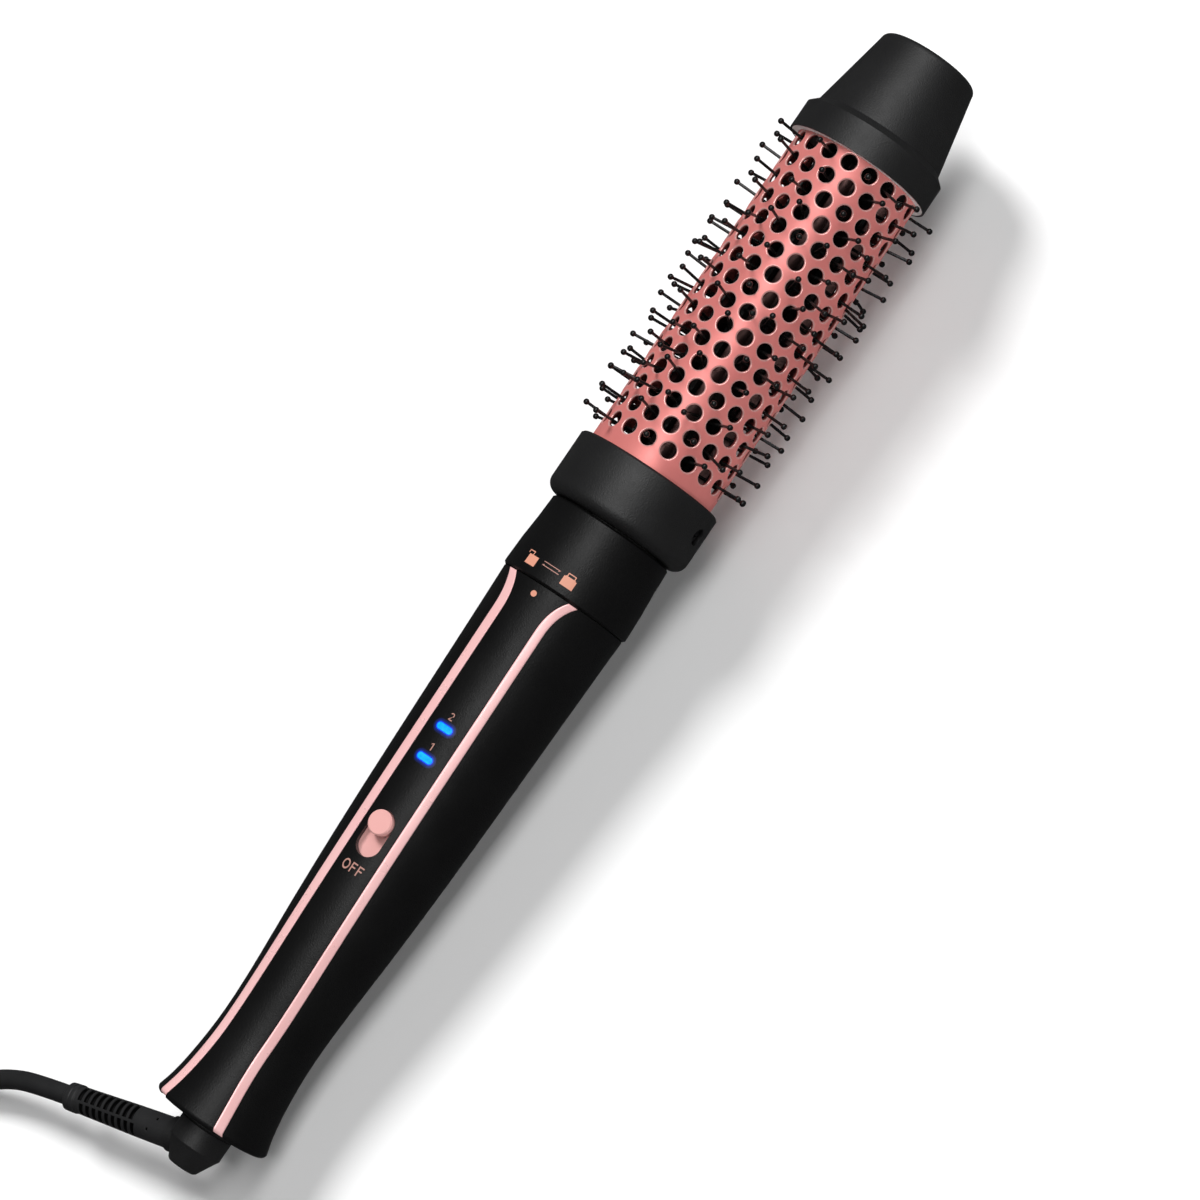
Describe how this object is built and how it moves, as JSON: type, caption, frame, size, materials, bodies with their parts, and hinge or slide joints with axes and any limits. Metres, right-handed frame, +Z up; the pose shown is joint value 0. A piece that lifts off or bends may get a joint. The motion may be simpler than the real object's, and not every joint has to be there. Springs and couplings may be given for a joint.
{
  "type": "heated round brush curling iron",
  "caption": "Corded hot round brush with a perforated barrel, ball-tipped pins, a twist-lock head, a slide switch and a swivel cord.",
  "frame": {"origin": "on the floor under the middle of the tool without its cord, strain relief and plug", "axes": "+X along the tool towards the tip, +Y to the side that the cord leaves from, +Z up out of the front panel; the tool's own axis rises 2.48 degrees towards the tip"},
  "size_m": [0.48, 0.1183, 0.0565],
  "materials": {
    "rose_gold_aluminium": "satin rose-gold anodised",
    "soft_black": "soft-touch black plastic",
    "black_nylon": "semi-gloss heat-resistant nylon",
    "grey_insulator": "light grey heat-resistant plastic",
    "rose_trim": "metallic rose paint on plastic",
    "rose_knob": "metallic rose paint on plastic",
    "blue_led": "lit blue window",
    "led_body": "clear blue resin",
    "inner_plastic": "moulded glass-filled nylon",
    "hub_plastic": "moulded heat-resistant plastic",
    "heater_aluminium": "extruded, bare",
    "ceramic_heater": "fired, unglazed",
    "film": "amber insulating film",
    "steel": "zinc plated",
    "black_steel": "blackened screw steel",
    "brass_contact": "nickel-flashed brass",
    "board_laminate": "solder-masked laminate",
    "component": "moulded component",
    "wire_cover": "silicone insulation",
    "black_rubber": "matt black rubber",
    "cord_cover": "matt black cord cover",
    "plug_plastic": "moulded black vinyl",
    "blade_metal": "nickel-plated brass",
    "tie_strap": "hook-and-loop strap"
  },
  "bodies": {
    "cord_end": {"swivel_elbow": "soft_black", "swivel_post": "brass_contact", "retaining_clip": "steel", "strain_relief": "black_rubber", "cord_tube": "cord_cover", "cord_coil": "cord_cover", "cord_tail": "cord_cover", "cord_tie": "tie_strap", "plug_body": "plug_plastic", "plug_blades": "blade_metal"},
    "handle": {"front_shell": "soft_black", "back_shell": "soft_black", "front_panel": "soft_black", "trim_left": "rose_trim", "trim_right": "rose_trim", "led_window_1": "blue_led", "led_window_2": "blue_led", "leds": "led_body", "neck": "inner_plastic", "latch_springs": "steel", "socket": "inner_plastic", "socket_contacts": "brass_contact", "slide_switch": "component", "circuit_board": "board_laminate", "board_parts": "component", "shell_screws": "black_steel", "swivel_bush": "inner_plastic", "swivel_contacts": "brass_contact", "wire_harness": "wire_cover"},
    "lock_ring": {"lock_ring": "soft_black"},
    "switch_knob": {"switch_knob": "rose_knob"},
    "brush_head": {"barrel": "rose_gold_aluminium", "tip_cap": "soft_black", "tip_insulator": "grey_insulator", "tip_screw": "steel", "base_collar": "soft_black", "collar_screws": "black_steel", "base_hub": "hub_plastic", "strip_ring_lower": "inner_plastic", "strip_ring_upper": "inner_plastic", "heater_body": "heater_aluminium", "heater_insulation": "film", "ptc_heater": "ceramic_heater", "thermal_fuse": "steel", "head_pins": "brass_contact", "bristle_strip_1": "black_nylon", "bristle_strip_2": "black_nylon", "bristle_strip_3": "black_nylon", "bristle_strip_4": "black_nylon", "bristle_strip_5": "black_nylon", "bristle_strip_6": "black_nylon", "bristle_strip_7": "black_nylon", "bristle_strip_8": "black_nylon", "bristle_strip_9": "black_nylon"}
  },
  "joints": [
    {"name": "handle_spin", "type": "hinge", "parent": "cord_end", "child": "handle", "pos_m": [-0.15924, 0.00001, 0.01733], "axis": [0.9991, 0, 0.0433], "continuous": true},
    {"name": "lock_turn", "type": "hinge", "parent": "handle", "child": "lock_ring", "pos_m": [0.0126, 0.00001, 0.02477], "axis": [0.9991, 0, 0.0433], "range_deg": [-19, 19]},
    {"name": "switch_slide", "type": "slide", "parent": "handle", "child": "switch_knob", "axis": [0.9968, 0, 0.0798], "range_m": [-0.0062, 0]},
    {"name": "head_pull", "type": "slide", "parent": "handle", "child": "brush_head", "axis": [0.9991, 0, 0.0433], "range_m": [0, 0.04]}
  ]
}
